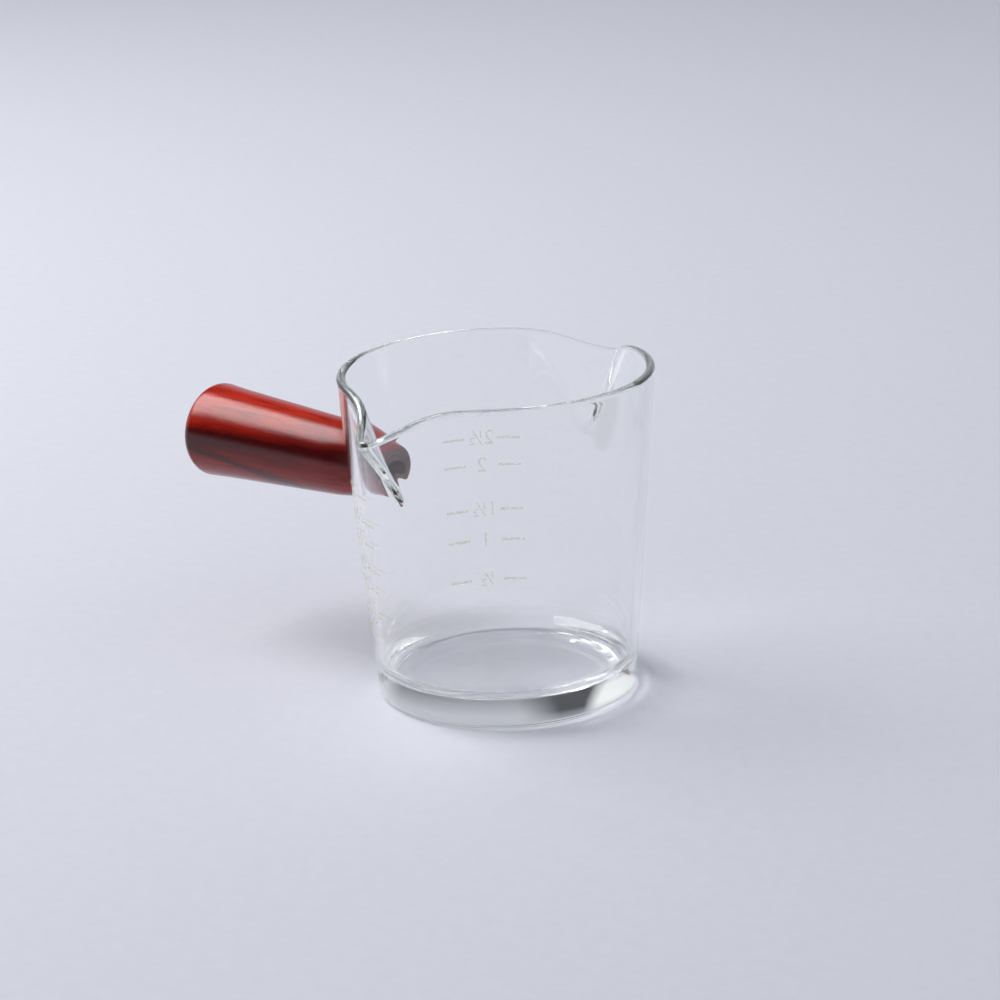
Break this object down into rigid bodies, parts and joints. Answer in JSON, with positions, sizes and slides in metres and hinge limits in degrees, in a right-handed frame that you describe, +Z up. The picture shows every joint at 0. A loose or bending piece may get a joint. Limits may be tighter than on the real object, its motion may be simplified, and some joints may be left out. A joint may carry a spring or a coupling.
{
  "type": "espresso shot glass",
  "caption": "Tapered clear glass measuring cup with a pouring spout on either side, a thick base and a turned red wood side handle.",
  "frame": {"origin": "middle of the cup's underside", "axes": "+Z up along the cup's axis, handle along -X, one spout at -Y and one at +Y"},
  "size_m": [0.1065, 0.0772, 0.0638],
  "materials": {
    "clear_glass": "clear, fire polished",
    "cured_adhesive": "cured resin, tinted brown",
    "lacquered_wood": "lacquered red rosewood",
    "scale_print": "fired cream enamel print"
  },
  "bodies": {
    "root": {"glass_cup": "clear_glass", "handle_adhesive": "cured_adhesive", "wood_handle": "lacquered_wood"}
  },
  "joints": []
}
